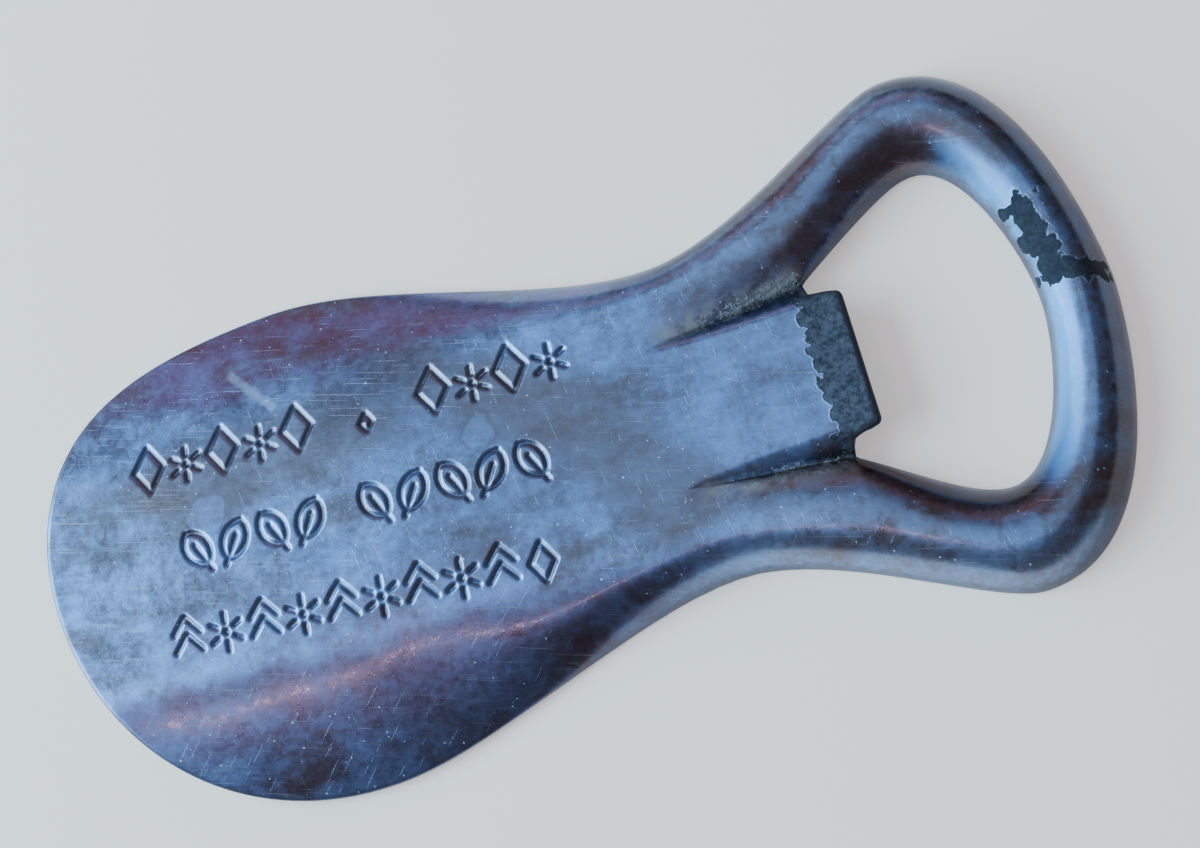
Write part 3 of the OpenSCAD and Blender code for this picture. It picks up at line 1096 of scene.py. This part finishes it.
def loop_colors(g, color):
    """Painted highlight along the rims' ridge, warmer rails, painted shade on the loop's corner on the
    -Y side, and a painted blue reflection on the bow's inner slope.
    """
    # Painted highlight: pale along the rims' ridge, nearer the inner edge on the lower rail
    ridge_gap = g.total((1.0, g.inner_gap), (-2.4, g.step(g.y, -2.0, 2.0)))
    on_ridge = g.product(g.step(g.upright, 0.86, 0.97), g.step(ridge_gap, 1.2, 2.6))
    on_rails = g.product(g.step(g.x, 13.0, 20.0), g.step(g.x, 44.0, 34.0))
    ridge = g.product(on_ridge, on_rails, g.step(g.haze, 0.36, 0.56))
    color = g.layer(color, PLATE_PALE, 0.4, ridge)
    rail = g.product(g.step(g.inner_gap, -0.2, 1.2), g.step(g.x, 9.0, 18.0))
    color = g.mix(rail, color, RAIL_WARMTH, "MULTIPLY")
    corner = g.product(g.step(g.x, 34.0, 44.0), g.step(g.y, -11.0, -17.0))
    color = g.mix(corner, color, CORNER_SHADE, "MULTIPLY")
    # Painted reflection: blue on the bow's inner slopes that face -X, clouded in patches
    on_bow = g.product(g.step(g.x, 38.0, 44.0), g.step(g.edge_gap, 0.2, 1.0))
    painted_reflection_side = g.product(g.step(g.normal_x, -0.1, -0.45), on_bow)
    reflection_color = g.mix(g.step(g.normal_x, -0.5, -0.85), REFLECTION_BAND, REFLECTION_RIM)
    clouded = g.step(g.total((0.5, g.haze), (0.5, g.mottle)), 0.36, 0.58, 0.35, 1.0)
    clouded = g.math("MAXIMUM", clouded, g.step(g.y, 7.0, 2.0))
    return g.layer(color, reflection_color, 0.85, g.product(painted_reflection_side, clouded)), painted_reflection_side


def spots(g, color):
    """A painted highlight, dried drops, scratches and pale specks."""
    # Painted highlight: a pale blue streak on the blade's upper shoulder
    flicker = g.math("SUBTRACT", g.mottle, 0.5)
    painted_highlight = g.step(g.total((1.0, g.field("painted_highlight")), (0.8, flicker)), -0.15, 0.5)
    color = g.layer(color, HIGHLIGHT_BLUE, 0.7, painted_highlight)
    ring, drop = g.rings(9.0, 2.2, 0.3, 0.4)
    color = g.layer(color, PLATE_PALE, 0.28, drop)
    color = g.layer(color, PLATE_DARK, 0.4, ring)
    small_ring, _ = g.rings(4.3, 0.9, 0.2, 0.35)
    color = g.layer(color, PLATE_DARK, 0.35, small_ring)
    scratches = g.math(
        "MAXIMUM",
        g.scratches(7.0, 0.09, 0.32, 0.66, 0.72, (3, 1, 0)),
        g.scratches(5.0, 0.08, -0.75, 0.7, 0.75, (1, 7, 0)),
    )
    scratches = g.math("MAXIMUM", scratches, g.scratches(3.5, 0.07, 1.45, 0.71, 0.76, (5, 2, 0)))
    color = g.layer(color, SPECK, 0.15, scratches)
    specks = g.math("MAXIMUM", g.specks(1.2, 0.16, 0.3), g.specks(0.6, 0.11, 0.35))
    return g.layer(color, SPECK, 0.6, specks), scratches, specks


def dirt(g, color):
    """Dirt in the stamped grooves, and a film, a dark line and crumbs along the creases."""
    groove = g.product(g.step(g.field("stamp"), 0.35, 0.95), g.step(g.haze, 0.3, 0.6))
    color = g.layer(color, NEAR_BLACK, 0.75, groove)
    near = g.total((1.0, g.crease_gap), (1.6, g.mottle), (1.4, g.haze))
    film = g.product(g.step(near, 4.2, 2.0), g.step(g.crease_gap, -0.5, 0.1))
    film = g.product(film, g.crisp, g.step(g.haze, 0.3, 0.62))
    color = g.layer(color, FILM, 0.75, film)
    # Darker along the bottom of each crease
    off = g.math("ABSOLUTE", g.math("SUBTRACT", g.crease_gap, 0.1))
    line = g.step(g.total((1.0, off), (0.35, g.mottle)), 0.42, 0.24)
    line = g.product(line, g.crisp, g.step(g.haze, 0.4, 0.6))
    color = g.layer(color, NEAR_BLACK, 0.6, line)
    upper_side = g.step(g.y, -2.0, 2.0)
    lumps = g.total((0.7, g.noise(0.45, 3.0, 0.65)), (0.3, g.noise(1.6, 2.0, 0.5)), (0.05, upper_side))
    by_crease = g.product(g.step(g.crease_gap, 1.6, 0.3), g.step(g.crease_gap, -0.7, -0.1))
    crumbs = g.product(g.step(lumps, 0.52, 0.6), by_crease, g.step(g.x, 13.0, 20.0), g.crisp)
    return g.layer(color, CRUMB, 0.75, crumbs), groove, film, line, crumbs


def chips(g, color):
    """Chipped plating with its pale broken edge, and the steel below, darker on the bow."""
    gap, _ = g.cells(1.9)
    ragged = g.total((1.0, g.bare), (-2.1, gap), (2.3, g.noise(1.5, 3.0, 0.55)))
    chip = g.step(ragged, 0.18, 0.3)
    rim = g.product(g.step(ragged, -0.1, 0.18), g.math("SUBTRACT", 1.0, chip))
    steel_tone = g.total((0.6, g.mottle), (0.5, g.noise(0.4, 5.0, 0.7)), (0.2, g.cloud))
    steel = g.mix(g.step(steel_tone, 0.5, 0.85), STEEL_DARK, STEEL_PALE)
    steel = g.layer(steel, STEEL_DARK, 0.65, g.step(g.x, 40.0, 44.0))
    dark_edge = g.product(g.step(g.ragged_edge, 1.0, 0.55), g.step(g.bare, 0.2, 0.8))
    steel = g.layer(steel, NEAR_BLACK, 0.85, dark_edge)
    color = g.layer(color, SPECK, 0.16, rim)
    return g.mix(chip, color, steel), chip, rim


def edges(g, color):
    """Painted shade on steep flanks, and worn cut edges."""
    # Painted shade: darker on steep flanks, except those facing -X
    tilt = g.total((1.0, g.upright), (0.3, g.mottle), (-0.35, g.normal_x), (-0.3, g.normal_y))
    flank = g.product(g.step(tilt, 1.0, 0.6), g.step(g.normal_x, -0.6, -0.2), g.step(g.x, 4.0, 16.0))
    color = g.mix(flank, color, FLANK_SHADE, "MULTIPLY")
    worn = g.step(g.ragged_edge, 0.85, 0.35)
    return g.layer(color, EDGE, 0.55, worn), worn


def plated_metal(name):
    """Old plating: hazy, scratched and spotted, dirty in its creases, and chipped to the steel, with
    painted reflections, highlights and shade in its colour.
    """
    g = Shading(name)
    color = reflection_and_shade_tints(g, plating(g))
    color, painted_reflection_side = loop_colors(g, color)
    color, scratches, specks = spots(g, color)
    color, groove, film, line, crumbs = dirt(g, color)
    color, chip, rim = chips(g, color)
    color, worn = edges(g, color)
    g.feed(g.shader.inputs["Base Color"], color)

    # Gloss
    grit = g.math("MAXIMUM", specks, crumbs)
    rough = g.total((0.34, g.haze), (0.18, g.mottle), (0.14, g.cloud), (0.3, film), (0.3, chip),
                    (0.12, worn), (0.15, groove), (0.22, painted_reflection_side), (0.3, grit))
    g.feed(g.shader.inputs["Roughness"], g.math("SUBTRACT", rough, 0.01, clamp=True))
    crust = g.math("MAXIMUM", g.math("MULTIPLY", crumbs, 0.8), g.math("MULTIPLY", line, 0.6))
    crust = g.math("MAXIMUM", crust, g.math("MULTIPLY", film, 0.75))
    metal = g.math("SUBTRACT", 1.0, g.math("MAXIMUM", crust, g.math("MULTIPLY", chip, 0.65)))
    g.feed(g.shader.inputs["Metallic"], metal)
    g.shader.inputs["Specular Tint"].default_value = (0.55, 0.58, 0.68, 1)
    dull = g.total((1.0, chip), (1.0, film), (0.6, g.haze))
    g.feed(g.shader.inputs["Coat Weight"], g.step(dull, 0.75, 0.2, 0.0, 0.6))
    g.feed(g.shader.inputs["Coat Roughness"], g.step(g.mottle, 0.3, 0.7, 0.08, 0.22))

    # Relief in millimetres: pits, dents, scratches, specks and the step where plating is gone
    dents = g.noise(2.6, 2.0, 0.5)
    pits = g.product(g.step(g.noise(0.45, 3.0, 0.6), 0.62, 0.72), chip)
    relief = g.total((0.014, g.mottle), (0.006, g.grain), (0.03, dents), (-0.004, scratches),
                     (0.02, specks), (0.05, crumbs), (-0.05, chip), (0.02, rim), (-0.04, pits))
    bump = g.add("ShaderNodeBump", {"Strength": 1, "Distance": MM, "Height": relief})
    g.feed(g.shader.inputs["Normal"], bump.outputs[0])
    return g.material


# -------------------- floor, light and camera


def make_floor():
    """Plain pale floor, a hair below the object, bright enough to read as white."""
    half, level = 0.6, -1e-5
    corners = [(-half, -half, level), (half, -half, level), (half, half, level), (-half, half, level)]
    mesh = bpy.data.meshes.new("floor")
    mesh.from_pydata(corners, [], [(0, 1, 2, 3)])
    floor = bpy.data.objects.new("floor", mesh)
    bpy.context.scene.collection.objects.link(floor)
    material = bpy.data.materials.new("pale_floor")
    material.use_nodes = True
    shader = material.node_tree.nodes["Principled BSDF"]
    shader.inputs["Base Color"].default_value = (1.0, 0.88, 0.77, 1)
    shader.inputs["Roughness"].default_value = 0.9
    shader.inputs["Emission Color"].default_value = (1.0, 0.97, 0.94, 1)
    shader.inputs["Emission Strength"].default_value = 0.45
    mesh.materials.append(material)


def soft_light(name, place, aim, size, power, color):
    """Area lamp of a width along X and a height, turned to face a point."""
    light = bpy.data.lights.new(name, "AREA")
    light.shape = "RECTANGLE"
    light.size, light.size_y = size
    light.energy = power
    light.color = color
    lamp = bpy.data.objects.new(name, light)
    lamp.location = place
    direction = np.array(aim) - np.array(place)
    lamp.rotation_euler = Vector(direction).to_track_quat("-Z", "Y").to_euler()
    bpy.context.scene.collection.objects.link(lamp)


def make_light():
    """Soft lamps, in surroundings that go from dim and brownish to pale blue."""
    world = bpy.data.worlds.new("studio")
    world.use_nodes = True
    tree = world.node_tree
    away = tree.nodes.new("ShaderNodeTexCoord").outputs["Generated"]
    side = tree.nodes.new("ShaderNodeVectorMath")
    side.operation = "DOT_PRODUCT"
    side.inputs[1].default_value = (-0.68, 0.34, 0.65)
    tree.links.new(away, side.inputs[0])
    blend = tree.nodes.new("ShaderNodeValToRGB")
    blend.color_ramp.elements[0].color = (0.175, 0.155, 0.175, 1)
    blend.color_ramp.elements[1].color = (0.24, 0.3, 0.42, 1)
    tree.links.new(side.outputs["Value"], blend.inputs[0])
    tree.links.new(blend.outputs[0], tree.nodes["Background"].inputs["Color"])
    bpy.context.scene.world = world
    blue, pale_blue = (0.45, 0.76, 1.0), (0.52, 0.74, 1.0)
    red, pink = (1.0, 0.45, 0.48), (0.95, 0.6, 0.8)
    soft_light("window", (-0.55, 0.1, 0.33), (0, 0, 0), (0.6, 0.5), 10.0, blue)
    soft_light("ceiling", (-0.08, 0.16, 0.6), (-0.08, 0.16, 0), (0.46, 0.5), 0.56, pale_blue)
    soft_light("warm_side", (-0.1, 0.72, 0.42), (0, 0, 0), (0.9, 0.36), 0.5, red)
    soft_light("strip", (-0.25, -0.135, 0.6), (-0.25, -0.135, 0), (0.18, 0.012), 0.23, pink)


def make_camera():
    data = bpy.data.cameras.new("camera")
    data.lens = 75
    data.sensor_width = 36
    data.clip_start = 0.01
    camera = bpy.data.objects.new("camera", data)
    camera.location = (0.0489, -0.05325, 0.2246)
    camera.rotation_euler = [math.radians(a) for a in (10.0, 14.86, -16.31)]
    bpy.context.scene.collection.objects.link(camera)
    bpy.context.scene.camera = camera


steel = plated_metal("plated_steel")
sheets = [
    blade_sheet(),
    waist_sheet(),
    rail_sheet("left_rail", 1),
    rail_sheet("right_rail", -1),
    bow_sheet(),
    tongue_sheet(),
]
for sheet, normals in zip(sheets, shared_normals(sheets)):
    fields = wear_and_light_fields(sheet, normals, EVERY_OUTLINE)
    make_piece(sheet, normals, fields, sheet.node + "_pressing", steel)

make_floor()
make_light()
make_camera()
